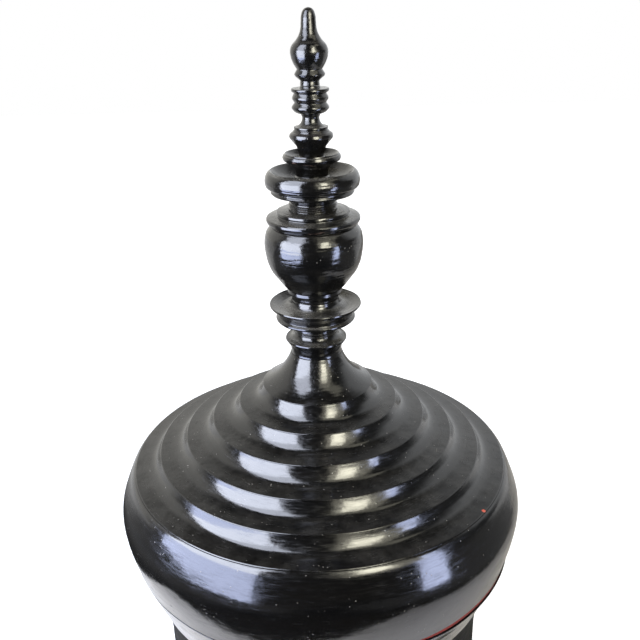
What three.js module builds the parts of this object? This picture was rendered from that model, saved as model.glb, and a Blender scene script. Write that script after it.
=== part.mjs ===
// Covered offering bowl of coiled bamboo and turned wood, lacquered black outside and red inside.
// Millimetres, +Z up, origin at the centre of the foot where it meets the floor.
import * as THREE from 'three';

// Gap between pieces that touch
const fit = 0.3;

// Pedestal: the drum's radius sets every other radius of the vessel
const drumRadius = 165.5;
const drumWall = 8.5;
const drumHeight = 74.5;
const footOverhang = 13.5;
const footInset = 15.5;
const footHeight = 13;
const footEdgeBulge = 3;
const mouldingOverhang = 6.5;
const mouldingHeight = 16.4;
const mouldingBulge = 4;
const topRingInset = 25.5;
const topRingHeight = 10;

// Bowl
const bowlWaistHeight = 41;
const bowlWaistFlare = 6;
const bowlWaistHollow = 1.3;
const bowlUpperHeight = 58.4;
const bowlRimFlare = 21.5;
const bowlWall = 8;
const wallJointRise = 13.9;
const wallSpigotDepth = 5;
const floorLedge = 7.5;
const floorLedgeHeight = 3;
const floorThickness = 9;

// Hoop in the bowl's mouth: its ledge carries the locating ring and the tray
const bowlHoopDepth = 14;
const hoopBandWidth = 3.8;
const hoopLedgeWidth = 13.2;

// Locating ring that the lid drops over
const ringThickness = 4.2;
const ringSkirtDepth = 6;
const ringUpstand = 16;
const flangeThickness = 1.4;
const flangeInset = 1.6;

// Tray that stands on the hoop's ledge, inside the locating ring
const trayClearance = 0.6;
const trayWall = 4.5;
const trayFloor = 5;
const trayWallHeight = 28;
const trayCornerRadius = 4;
const trayHoopHeight = 3.2;
const trayHoopOverlap = 1;

// Lid belly and its hoop. Each inset is taken from the widest radius.
const lidRimOverhang = 0.6;
const bellySwell = 7;
const bellyLowHeight = 33.6;
const bellyLowInset = 0.2;
const bellyLowBulge = 0.4;
const bellyHighRise = 22;
const bellyHighInset = 2.3;
const bellyWidestBulge = 1.5;
const bellyShoulderRise = 24.1;
const bellyShoulderInset = 12.4;
const bellyHighBulge = 0.3;
const bellyRollRise = 3.7;
const bellyRollWidth = 3.9;
const bellyRollBulge = 0.45;
const lidWall = 8;
const lidHoopClearance = 0.9;
const lidHoopHeight = 14;

// Stepped tiers, from the innermost out: how wide each one is and how far it falls
const tierWidths = [24.7, 25.5, 27.1, 25.3, 25.8];
const tierFalls = [17.1, 15.9, 16.6, 15.2, 14.9];
const lowestLipSetback = 5.5;
const lipHeight = 1.6;
const lipUndercut = 1;
const lipOverlap = 1.4;
const seatWidth = 10.4;
const tierWall = 9;
const spigotDepth = 4;
const ledgeShare = 0.6;
const ledgeRise = 1.4;
const riserHollow = 1.3;
const riserSteps = 2;

// Crown of the lid
const crownHeight = 31.6;
const crownNeckRadius = 24.8;
const crownHollow = 4.4;
const crownPlugDepth = 20;

// Rounding of a turned edge, and the fine rings left between mouldings
const edgeRound = 0.8;
const fineRing = 1.1;

// Collar section of the spire
const collarEdgeHeight = 13.2;
const collarEdgeThickness = 2.2;
const collarEdgeRadius = 29.4;
const collarHollow = 1.2;
const collarNeckRadius = 20.4;
const collarFlareRise = 6;
const collarNeckRise = 5;
const collarTenonRootRadius = 15;
const collarTenonTipRadius = 13;
const collarTenonLength = 38;

// Saucer section
const saucerLedgeHeight = 8.4;
const saucerLedgeThickness = 3;
const saucerLedgeRadius = 37.8;
const saucerRecess = 2;
const saucerRimRise = 10;
const saucerRimThickness = 2.4;
const saucerRimRadius = 43.5;
const saucerHollow = 1.2;
const saucerFloorDrop = 3.2;
const saucerFloorRadius = 28;
const saucerStemRadius = 22;
const saucerStemRise = 7.4;

// Ball section
const ballNeckHeight = 3.6;
const ballCollarRadius = 25.8;
const ballCollarThickness = 6.8;
const ballRadius = 45.5;
const ballWidestRise = 41.1;
const ballLowerBulge = 4.7;
const ballTopRadius = 40.8;
const ballUpperRise = 16.7;
const ballUpperBulge = 1.6;
const ballTopRound = 2.8;

// Double disc section
const wideDiscHeight = 3.4;
const wideDiscThickness = 2.5;
const wideDiscRadius = 42.9;
const narrowDiscRise = 2.5;
const narrowDiscThickness = 3.5;
const narrowDiscRadius = 33.4;
const discsConeRise = 5.3;
const discsConeRadius = 22.8;
const discsNeckRadius = 20.4;
const discsNeckRise = 3.4;

// Large dish section
const dishLedgeHeight = 7.8;
const dishLedgeThickness = 3;
const dishLedgeRadius = 37.9;
const dishUnderHollow = 0.6;
const dishRadius = 42.7;
const dishWidestRise = 8.6;
const dishLowerBulge = 0.7;
const dishRimRadius = 37.6;
const dishRimRise = 9;
const dishUpperBulge = 1.6;
const dishRimThickness = 1.8;
const dishHollow = 2.2;
const dishFloorDrop = 9.8;
const dishStemRadius = 15.2;
const dishStemRise = 1.8;

// Small dish section
const cupFootHeight = 2;
const cupFootRing = 0.8;
const cupNeckRadius = 14.4;
const cupUnderHollow = 2.6;
const cupRadius = 26.2;
const cupEdgeRise = 14;
const cupEdgeThickness = 4.9;
const cupRimRadius = 23.8;
const cupRimRise = 1.7;
const cupRimThickness = 1.2;
const cupHollow = 1;
const cupFloorDrop = 4.4;
const cupFloorRadius = 13;
const cupStemRadius = 11.2;
const cupStemRise = 1.6;

// Beaded section
const steppedConeHeight = 8.6;
const steppedBeadRise = 6.6;
const steppedBeadThickness = 4.8;
const steppedBeadRadius = 19.5;
const steppedGrooveRadius = 15.9;
const thinDiscRise = 2.7;
const thinDiscThickness = 2.1;
const thinDiscRadius = 15.2;
const waistRise = 8;
const waistHollow = 2.6;
const waistRadius = 7.6;
const waistStraight = 3.2;
const beadRadii = [16.2, 15.6, 16.5];
const beadThicknesses = [4.8, 3.8, 2.4];
const beadFlareRise = 2.2;
const beadGap = 3.7;
const beadGroove = 1.6;
const beadsNeckRadius = 8.6;
const beadsNeckRise = 2.2;

// Bud section
const budNeckHeight = 4.2;
const budRingRise = 4.4;
const budRingRadius = 13.3;
const budRootRise = 4.5;
const budRootRadius = 11;
const budWidestRise = 15;
const budRadius = 16.2;
const budLowerBulge = 1.6;
const budShoulderRise = 8.5;
const budShoulderRadius = 11;
const budShoulderBulge = 1.5;
const budStemRise = 8.8;
const budStemRadius = 6.7;
const budStemHollow = 1.4;
const budTipRise = 7.4;
const budTipTaper = 0.2;
const budEndRise = 8.8;
const budEndBulge = 2;

// Glued tenons between the spire sections
const saucerTenonRadius = 11;
const ballTenonRadius = 12;
const discsTenonRadius = 14;
const dishTenonRadius = 11;
const cupTenonRadius = 8;
const beadsTenonRadius = 6;
const budTenonRadius = 4;
const tenonLength = 15;

// Facets round the vessel and round the slender spire, and along the outlines' arcs
const vesselSides = 32;
const spireSides = 20;
const arcSteps = 3;
const roundSteps = 4;
const crownSteps = 6;
const ballSteps = 7;

const blackLacquer = { color: 0x101012, roughness: 0.14, metalness: 0 };
const redLacquer = { color: 0x8c1f17, roughness: 0.3, metalness: 0 };

// Radii and clearances that follow from the drum
const bowlWaistRadius = drumRadius + bowlWaistFlare;
const bowlRimRadius = bowlWaistRadius + bowlRimFlare;
const mouthRadius = bowlRimRadius - bowlWall;
const ringOuterRadius = mouthRadius - hoopBandWidth - 2 * fit;
const ringInnerRadius = ringOuterRadius - ringThickness;
const lidRimRadius = bowlRimRadius + lidRimOverhang;
const bellyRadius = lidRimRadius + bellySwell;
const bellyShoulderRadius = bellyRadius - bellyShoulderInset;
const lowestEdgeRadius = bellyShoulderRadius - lowestLipSetback;

// An outline of radius and height, drawn with straight lines and circular arcs.
// An arc's bulge is its rise over the chord, positive to the right of the way it is drawn.
class Outline {
  constructor(radius, height) {
    this.points = [new THREE.Vector2(radius, height)];
  }

  line(radius, height) {
    this.points.push(new THREE.Vector2(radius, height));
    return this;
  }

  arc(radius, height, bulge, steps = arcSteps) {
    const start = this.points[this.points.length - 1].clone();
    const end = new THREE.Vector2(radius, height);
    const chord = end.clone().sub(start);
    const side = new THREE.Vector2(chord.y, -chord.x).normalize();
    const halfChord = chord.length() / 2;
    const arcRadius = (halfChord ** 2 + bulge ** 2) / (2 * Math.abs(bulge));
    const halfAngle = Math.atan2(halfChord, arcRadius - Math.abs(bulge));
    for (let step = 1; step < steps; step += 1) {
      const angle = halfAngle * (2 * step / steps - 1);
      const along = 0.5 + arcRadius * Math.sin(angle) / (2 * halfChord);
      const rise = arcRadius * (Math.cos(angle) - Math.cos(halfAngle)) * Math.sign(bulge);
      this.points.push(start.clone().addScaledVector(chord, along).addScaledVector(side, rise));
    }
    this.points.push(end);
    return this;
  }

  // A turned edge between two heights, rounded off above and below
  edge(radius, lower, upper) {
    return this.line(radius - edgeRound, lower)
      .line(radius, (lower + upper) / 2)
      .line(radius - edgeRound, upper);
  }

  close() {
    this.points.push(this.points[0].clone());
    return this;
  }
}

const vessel = new THREE.Group();

function addTurned(name, outline, sides, finish) {
  const geometry = new THREE.LatheGeometry(outline.points, sides);
  geometry.rotateX(Math.PI / 2);
  const mesh = new THREE.Mesh(geometry, new THREE.MeshStandardMaterial(finish));
  mesh.name = name;
  vessel.add(mesh);
}

function addRing(name, outline, finish = blackLacquer) {
  addTurned(name, outline.close(), vesselSides, finish);
}

// Foot, rounded moulding, straight drum and the ring that carries the bowl
function addPedestal() {
  const footRadius = drumRadius + footOverhang;
  const footInnerRadius = drumRadius - footInset;
  addRing('pedestal_foot_ring', new Outline(footInnerRadius, 0)
    .line(footRadius, 0)
    .arc(footRadius, footHeight, footEdgeBulge)
    .line(footInnerRadius, footHeight));

  const mouldingBase = footHeight + fit;
  const mouldingTop = mouldingBase + mouldingHeight;
  addRing('pedestal_moulding', new Outline(footInnerRadius, mouldingBase)
    .line(drumRadius + mouldingOverhang, mouldingBase)
    .arc(drumRadius + fit, mouldingTop, mouldingBulge, roundSteps)
    .line(footInnerRadius, mouldingTop));

  const drumBase = mouldingTop + fit;
  const drumTop = drumBase + drumHeight;
  addRing('pedestal_drum', new Outline(drumRadius - drumWall, drumBase)
    .line(drumRadius, drumBase)
    .line(drumRadius, drumTop)
    .line(drumRadius - drumWall, drumTop));

  const topRingBase = drumTop + fit;
  const topRingTop = topRingBase + topRingHeight;
  addRing('pedestal_top_ring', new Outline(drumRadius - topRingInset, topRingBase)
    .line(drumRadius, topRingBase)
    .line(drumRadius, topRingTop)
    .line(drumRadius - topRingInset, topRingTop));
  return topRingTop + fit;
}

// Matte lower wall with a ledge for the floor, glossy upper wall whose spigot drops into it,
// and a hoop inside the mouth
function addBowl(base) {
  const waist = base + bowlWaistHeight;
  const rim = waist + bowlUpperHeight;
  const slope = bowlRimFlare / bowlUpperHeight;
  const joint = waist + wallJointRise;
  const jointRadius = bowlWaistRadius + slope * wallJointRise;
  const spigotRadius = jointRadius - bowlWall / 2;
  const spigotBase = joint - wallSpigotDepth;
  const ledgeTop = base + floorLedgeHeight;
  const floorTop = ledgeTop + fit + floorThickness;
  const innerWaistRadius = bowlWaistRadius - bowlWall;
  const innerFootRadius = drumRadius - bowlWall;
  const spigotInnerRadius = innerWaistRadius + slope * (spigotBase - waist);
  addRing('bowl_lower_wall', new Outline(innerFootRadius - floorLedge, base)
    .line(drumRadius, base)
    .arc(bowlWaistRadius, waist, -bowlWaistHollow)
    .line(jointRadius - slope * fit, joint - fit)
    .line(spigotRadius + fit, joint - fit)
    .line(spigotRadius + fit, spigotBase - fit)
    .line(spigotInnerRadius - slope * fit, spigotBase - fit)
    .line(innerWaistRadius, waist)
    .arc(innerFootRadius, floorTop, bowlWaistHollow)
    .line(innerFootRadius, ledgeTop)
    .line(innerFootRadius - floorLedge, ledgeTop));

  addRing('bowl_wall', new Outline(spigotInnerRadius, spigotBase)
    .line(spigotRadius, spigotBase)
    .line(spigotRadius, joint)
    .line(jointRadius, joint)
    .line(bowlRimRadius, rim)
    .line(mouthRadius, rim));

  addTurned('bowl_floor', new Outline(0, ledgeTop + fit)
    .line(innerFootRadius - fit, ledgeTop + fit)
    .line(innerFootRadius - fit, floorTop)
    .line(0, floorTop), vesselSides, redLacquer);

  const hoopRadius = mouthRadius - fit;
  const ledge = rim - ringSkirtDepth - fit;
  addRing('bowl_rim_hoop', new Outline(ringOuterRadius - hoopLedgeWidth, rim - bowlHoopDepth)
    .line(hoopRadius - slope * bowlHoopDepth, rim - bowlHoopDepth)
    .line(hoopRadius, rim)
    .line(hoopRadius - hoopBandWidth, rim)
    .line(hoopRadius - hoopBandWidth, ledge)
    .line(ringOuterRadius - hoopLedgeWidth, ledge), redLacquer);
  return rim;
}

// Red ring whose thin flange lies between the bowl's rim and the lid
function addLocatingRing(bowlRim) {
  const flangeBase = bowlRim + fit;
  const flangeTop = flangeBase + flangeThickness;
  const flangeRadius = bowlRimRadius - flangeInset;
  const skirtBase = bowlRim - ringSkirtDepth;
  addRing('bowl_locating_ring', new Outline(ringInnerRadius, skirtBase)
    .line(ringOuterRadius, skirtBase)
    .line(ringOuterRadius, flangeBase)
    .line(flangeRadius, flangeBase)
    .line(flangeRadius, flangeTop)
    .line(ringOuterRadius, flangeTop)
    .line(ringOuterRadius, flangeTop + ringUpstand)
    .line(ringInnerRadius, flangeTop + ringUpstand), redLacquer);
  return flangeTop;
}

// Shallow tray on the hoop's ledge, with a rounded hoop on top of its wall
function addTray(bowlRim) {
  const underside = bowlRim - ringSkirtDepth;
  const floorTop = underside + trayFloor;
  const wallTop = underside + trayWallHeight;
  const outerRadius = ringInnerRadius - trayClearance;
  const innerRadius = outerRadius - trayWall;
  const cornerBulge = trayCornerRadius * (1 - Math.SQRT1_2);
  addTurned('tray_dish', new Outline(0, underside)
    .line(outerRadius - trayCornerRadius, underside)
    .arc(outerRadius, underside + trayCornerRadius, cornerBulge)
    .line(outerRadius, wallTop)
    .line(innerRadius, wallTop)
    .line(innerRadius, floorTop + trayCornerRadius)
    .arc(innerRadius - trayCornerRadius, floorTop, -cornerBulge)
    .line(0, floorTop), vesselSides, redLacquer);

  const hoopBase = wallTop + fit;
  const hoopInnerRadius = innerRadius - trayHoopOverlap;
  addRing('tray_rim_hoop', new Outline(hoopInnerRadius, hoopBase)
    .line(outerRadius, hoopBase)
    .line(outerRadius - edgeRound, hoopBase + trayHoopHeight)
    .line(hoopInnerRadius + edgeRound, hoopBase + trayHoopHeight), redLacquer);
}

// Belly of the lid, with the hoop that slides over the locating ring
function addBelly(rim) {
  const low = rim + bellyLowHeight;
  const high = low + bellyHighRise;
  const roll = high + bellyShoulderRise;
  const shoulder = roll + bellyRollRise;
  const seatInnerRadius = lowestEdgeRadius - lipOverlap - seatWidth;
  const innerRimRadius = lidRimRadius - lidWall;
  const innerWidest = bellyRadius - lidWall;
  addRing('lid_belly', new Outline(innerRimRadius, rim)
    .line(lidRimRadius, rim)
    .arc(bellyRadius - bellyLowInset, low, bellyLowBulge)
    .arc(bellyRadius - bellyHighInset, high, bellyWidestBulge)
    .arc(bellyShoulderRadius, roll, bellyHighBulge)
    .arc(bellyShoulderRadius - bellyRollWidth, shoulder, bellyRollBulge)
    .line(seatInnerRadius, shoulder)
    .line(seatInnerRadius, shoulder - lidWall)
    .line(bellyShoulderRadius - lidWall, roll - lidWall)
    .line(innerWidest - bellyHighInset, high)
    .line(innerWidest, low));

  const slope = bellySwell / bellyLowHeight;
  const hoopInnerRadius = ringOuterRadius + lidHoopClearance;
  const hoopRadius = innerRimRadius - fit;
  const hoopBase = rim + fit;
  const hoopTop = hoopBase + lidHoopHeight;
  addRing('lid_rim_hoop', new Outline(hoopInnerRadius, hoopBase)
    .line(hoopRadius, hoopBase)
    .line(hoopRadius + slope * lidHoopHeight, hoopTop)
    .line(hoopInnerRadius, hoopTop), redLacquer);
  return shoulder;
}

// One tier: a nearly level ledge, then a hollow riser up to the lip of the tier above.
// Its own lip stands proud of the seat below, and its spigot drops inside that seat.
function addTier(number, lowerRadius, lowerEdge, upperRadius, upperEdge) {
  const seat = upperEdge - lipHeight - fit;
  const underside = lowerEdge - lipHeight;
  const riserTopRadius = upperRadius - lipOverlap;
  const riserFootRadius = lowerRadius - ledgeShare * (lowerRadius - riserTopRadius);
  const boreRadius = riserTopRadius - seatWidth;
  const spigotRadius = lowerRadius - lipOverlap - seatWidth - fit;
  addRing(`lid_tier_${number}`, new Outline(spigotRadius, underside)
    .line(lowerRadius - lipUndercut, underside)
    .line(lowerRadius, lowerEdge)
    .line(riserFootRadius, lowerEdge + ledgeRise)
    .arc(riserTopRadius, seat, -riserHollow, riserSteps)
    .line(boreRadius, seat)
    .line(boreRadius, seat - tierWall)
    .line(spigotRadius, underside - spigotDepth));
}

// Tiers from the belly's shoulder up; returns the radius and height of the crown's edge
function addTiers(shoulder) {
  let radius = lowestEdgeRadius;
  let height = shoulder + fit + lipHeight;
  for (let number = tierFalls.length; number >= 1; number -= 1) {
    const upperRadius = radius - tierWidths[number - 1];
    const upperHeight = height + tierFalls[number - 1];
    addTier(number, radius, height, upperRadius, upperHeight);
    radius = upperRadius;
    height = upperHeight;
  }
  return { radius, height };
}

// Turned crown: hollow-sided cone outside, plug inside the first tier, socket for the spire
function addCrown(edge) {
  const underside = edge.height - lipHeight;
  const plugRadius = edge.radius - lipOverlap - seatWidth - fit;
  const top = edge.height + crownHeight;
  const socketFloor = top - collarTenonLength - fit;
  addTurned('lid_crown', new Outline(0, underside - crownPlugDepth)
    .line(plugRadius, underside - crownPlugDepth)
    .line(plugRadius, underside)
    .line(edge.radius - lipUndercut, underside)
    .line(edge.radius, edge.height)
    .arc(crownNeckRadius, top, -crownHollow, crownSteps)
    .line(collarTenonRootRadius + fit, top)
    .line(collarTenonTipRadius + fit, socketFloor)
    .line(0, socketFloor), spireSides, blackLacquer);
  return top + fit;
}

// A turned section of the spire: tenon below, its moulding, then the socket for the next one.
// drawMoulding draws from the seat up and returns the height of its top.
function addSection(name, seat, tenon, drawMoulding, socketRadius) {
  const outline = new Outline(0, seat - tenon.length)
    .line(tenon.tipRadius, seat - tenon.length)
    .line(tenon.rootRadius, seat);
  const top = drawMoulding(outline);
  if (socketRadius > 0) {
    const socketFloor = top - tenonLength - fit;
    outline.line(socketRadius + fit, top)
      .line(socketRadius + fit, socketFloor)
      .line(0, socketFloor);
  }
  addTurned(name, outline, spireSides, blackLacquer);
  return top + fit;
}

function plainTenon(radius) {
  return { rootRadius: radius, tipRadius: radius, length: tenonLength };
}

function addCollar(seat) {
  const tenon = {
    rootRadius: collarTenonRootRadius,
    tipRadius: collarTenonTipRadius,
    length: collarTenonLength,
  };
  return addSection('spire_collar', seat, tenon, (outline) => {
    const edge = seat + collarEdgeHeight;
    const edgeTop = edge + collarEdgeThickness;
    const neck = edgeTop + collarFlareRise;
    const top = neck + collarNeckRise;
    outline.line(crownNeckRadius, seat)
      .arc(collarEdgeRadius - 2 * edgeRound, edge - edgeRound, -collarHollow)
      .edge(collarEdgeRadius, edge, edgeTop)
      .arc(collarNeckRadius, neck, -collarHollow)
      .line(collarNeckRadius + fineRing, neck + fineRing)
      .line(collarNeckRadius, neck + 2 * fineRing)
      .line(collarNeckRadius, top);
    return top;
  }, saucerTenonRadius);
}

function addSaucer(seat) {
  return addSection('spire_saucer', seat, plainTenon(saucerTenonRadius), (outline) => {
    const ledge = seat + saucerLedgeHeight;
    const ledgeTop = ledge + saucerLedgeThickness;
    const rim = ledgeTop + saucerRimRise;
    const rimTop = rim + saucerRimThickness;
    const top = rimTop - saucerFloorDrop + saucerStemRise;
    outline.line(collarNeckRadius, seat)
      .arc(saucerLedgeRadius - edgeRound, ledge, -saucerHollow)
      .line(saucerLedgeRadius, ledgeTop - edgeRound)
      .line(saucerLedgeRadius - saucerRecess, ledgeTop)
      .arc(saucerRimRadius - 2 * edgeRound, rim - edgeRound, -saucerHollow)
      .edge(saucerRimRadius, rim, rimTop)
      .arc(saucerFloorRadius, rimTop - saucerFloorDrop, -saucerHollow)
      .line(saucerStemRadius, top);
    return top;
  }, ballTenonRadius);
}

function addBall(seat) {
  return addSection('spire_ball', seat, plainTenon(ballTenonRadius), (outline) => {
    const collar = seat + ballNeckHeight;
    const collarTop = collar + ballCollarThickness;
    const widest = collarTop + ballWidestRise;
    const shoulder = widest + ballUpperRise;
    const top = shoulder + ballTopRound;
    outline.line(saucerStemRadius, seat)
      .line(saucerStemRadius, collar)
      .edge(ballCollarRadius, collar + edgeRound, collarTop)
      .arc(ballRadius, widest, ballLowerBulge, ballSteps)
      .arc(ballTopRadius, shoulder, ballUpperBulge)
      .line(ballTopRadius - ballTopRound, top);
    return top;
  }, discsTenonRadius);
}

function addDiscs(seat) {
  return addSection('spire_discs', seat, plainTenon(discsTenonRadius), (outline) => {
    const wide = seat + wideDiscHeight;
    const wideTop = wide + wideDiscThickness;
    const narrow = wideTop + narrowDiscRise;
    const narrowTop = narrow + narrowDiscThickness;
    const cone = narrowTop + discsConeRise;
    const top = cone + discsNeckRise;
    outline.line(ballTopRadius - edgeRound, seat)
      .edge(wideDiscRadius, wide, wideTop)
      .edge(narrowDiscRadius, narrow, narrowTop)
      .line(discsConeRadius, cone)
      .line(discsNeckRadius, cone + edgeRound)
      .line(discsNeckRadius, top);
    return top;
  }, dishTenonRadius);
}

function addLargeDish(seat) {
  return addSection('spire_large_dish', seat, plainTenon(dishTenonRadius), (outline) => {
    const ledge = seat + dishLedgeHeight;
    const ledgeTop = ledge + dishLedgeThickness;
    const widest = ledgeTop + dishWidestRise;
    const rim = widest + dishRimRise;
    const floor = rim - dishFloorDrop;
    const top = floor + dishStemRise;
    outline.line(discsNeckRadius, seat)
      .arc(dishLedgeRadius - edgeRound, ledge, -dishUnderHollow)
      .edge(dishLedgeRadius, ledge + edgeRound, ledgeTop)
      .arc(dishRadius, widest, dishLowerBulge)
      .arc(dishRimRadius, rim, dishUpperBulge)
      .line(dishRimRadius - dishRimThickness, rim - edgeRound)
      .arc(dishStemRadius + edgeRound, floor, -dishHollow)
      .line(dishStemRadius, top);
    return top;
  }, cupTenonRadius);
}

function addSmallDish(seat) {
  return addSection('spire_small_dish', seat, plainTenon(cupTenonRadius), (outline) => {
    const foot = seat + cupFootHeight;
    const edge = foot + cupEdgeRise;
    const edgeTop = edge + cupEdgeThickness;
    const rim = edgeTop + cupRimRise;
    const floor = rim - cupFloorDrop;
    const top = floor + cupStemRise;
    outline.line(cupNeckRadius + cupFootRing, seat)
      .line(cupNeckRadius, foot)
      .arc(cupRadius - 2 * edgeRound, edge, -cupUnderHollow)
      .edge(cupRadius, edge + edgeRound, edgeTop)
      .line(cupRimRadius, rim)
      .line(cupRimRadius - cupRimThickness, rim - edgeRound)
      .arc(cupFloorRadius, floor, -cupHollow)
      .line(cupStemRadius, top);
    return top;
  }, beadsTenonRadius);
}

// Stepped bead, thin disc and waist, then a stack of three beads with grooves between
function addBeads(seat) {
  return addSection('spire_beads', seat, plainTenon(beadsTenonRadius), (outline) => {
    const stepped = seat + steppedConeHeight + steppedBeadRise;
    const steppedTop = stepped + steppedBeadThickness;
    const disc = steppedTop + thinDiscRise;
    const discTop = disc + thinDiscThickness;
    const waist = discTop + waistRise;
    outline.line(cupStemRadius, seat)
      .line(cupStemRadius + edgeRound, seat + steppedConeHeight)
      .edge(steppedBeadRadius, stepped, steppedTop)
      .line(steppedGrooveRadius, steppedTop + edgeRound)
      .edge(thinDiscRadius, disc, discTop)
      .arc(waistRadius, waist, -waistHollow)
      .line(waistRadius + edgeRound, waist + waistStraight);
    let base = waist + waistStraight + beadFlareRise;
    for (let index = 0; index < beadRadii.length; index += 1) {
      const beadTop = base + beadThicknesses[index];
      outline.edge(beadRadii[index], base, beadTop);
      if (index < beadRadii.length - 1) {
        outline.line(beadRadii[index] - beadGroove, beadTop + beadGap / 2);
        base = beadTop + beadGap;
      } else {
        base = beadTop;
      }
    }
    const top = base + beadsNeckRise;
    outline.line(beadsNeckRadius, top);
    return top;
  }, budTenonRadius);
}

function addBud(seat) {
  addSection('spire_bud', seat, plainTenon(budTenonRadius), (outline) => {
    const neck = seat + budNeckHeight;
    const ring = neck + budRingRise;
    const root = ring + budRootRise;
    const widest = root + budWidestRise;
    const shoulder = widest + budShoulderRise;
    const stem = shoulder + budStemRise;
    const tip = stem + budTipRise;
    const top = tip + budEndRise;
    outline.line(beadsNeckRadius, seat)
      .line(beadsNeckRadius - edgeRound / 2, neck)
      .line(budRingRadius, ring)
      .line(budRootRadius, root)
      .arc(budRadius, widest, budLowerBulge)
      .arc(budShoulderRadius, shoulder, budShoulderBulge)
      .arc(budStemRadius, stem, -budStemHollow)
      .line(budStemRadius - budTipTaper, tip)
      .arc(0, top, budEndBulge, roundSteps);
    return top;
  }, 0);
}

const bowlBase = addPedestal();
const bowlRim = addBowl(bowlBase);
const flangeTop = addLocatingRing(bowlRim);
addTray(bowlRim);
const shoulder = addBelly(flangeTop + fit);
const crownEdge = addTiers(shoulder);
const collarSeat = addCrown(crownEdge);
const saucerSeat = addCollar(collarSeat);
const ballSeat = addSaucer(saucerSeat);
const discsSeat = addBall(ballSeat);
const largeDishSeat = addDiscs(discsSeat);
const smallDishSeat = addLargeDish(largeDishSeat);
const beadsSeat = addSmallDish(smallDishSeat);
const budSeat = addBeads(beadsSeat);
addBud(budSeat);

export default vessel;
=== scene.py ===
import math

import bmesh
import bpy
from mathutils import Euler, Matrix, Vector, noise


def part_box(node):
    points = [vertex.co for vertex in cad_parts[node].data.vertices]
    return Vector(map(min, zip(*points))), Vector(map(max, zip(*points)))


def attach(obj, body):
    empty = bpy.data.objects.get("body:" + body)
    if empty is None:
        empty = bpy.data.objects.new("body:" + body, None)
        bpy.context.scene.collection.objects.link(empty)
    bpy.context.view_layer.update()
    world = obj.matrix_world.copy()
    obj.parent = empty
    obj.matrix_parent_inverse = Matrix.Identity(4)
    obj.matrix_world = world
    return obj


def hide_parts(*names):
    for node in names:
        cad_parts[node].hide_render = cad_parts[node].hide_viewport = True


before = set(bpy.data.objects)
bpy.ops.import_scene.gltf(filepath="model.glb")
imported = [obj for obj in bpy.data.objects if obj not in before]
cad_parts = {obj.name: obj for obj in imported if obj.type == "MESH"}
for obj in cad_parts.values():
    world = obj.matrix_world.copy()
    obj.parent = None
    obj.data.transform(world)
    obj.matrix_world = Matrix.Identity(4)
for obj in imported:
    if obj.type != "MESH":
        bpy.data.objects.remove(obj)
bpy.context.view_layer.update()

# A lacquered offering vessel: finely turned pieces, lacquer materials and a pale studio.
# Outlines are written as radius and height in millimetres.

mm = 0.001

surface = {
    "vesselSides": 160,
    "spireSides": 96,
    "arcSteps": 12,
    "flowSteps": 7,
    "edgeSteps": 5,
    "supportGap": 0.7,
    "vesselStep": 7.0,
    "spireStep": 0.8,
    "sharpTurn": math.radians(38),
}

handMade = {
    "inwards": 0.32,
    "upAndDown": 0.45,
    "around": 1.7,
    "up": 9.0,
    "steadyBelow": 60.0,
    "fullFrom": 60.0,
    "swayPitch": 0.8,
    "swayShift": Vector((7, 3, 5)),
}

ridges = {
    "depth": 0.42,
    "pitch": 700.0,
    "around": 2.2,
    "fullFrom": 36.0,
    "least": 0.35,
    "slant": 0.8,
}


# The lowest and highest place of a node, in millimetres
def low(node):
    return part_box(node)[0].z / mm


def high(node):
    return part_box(node)[1].z / mm


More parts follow.
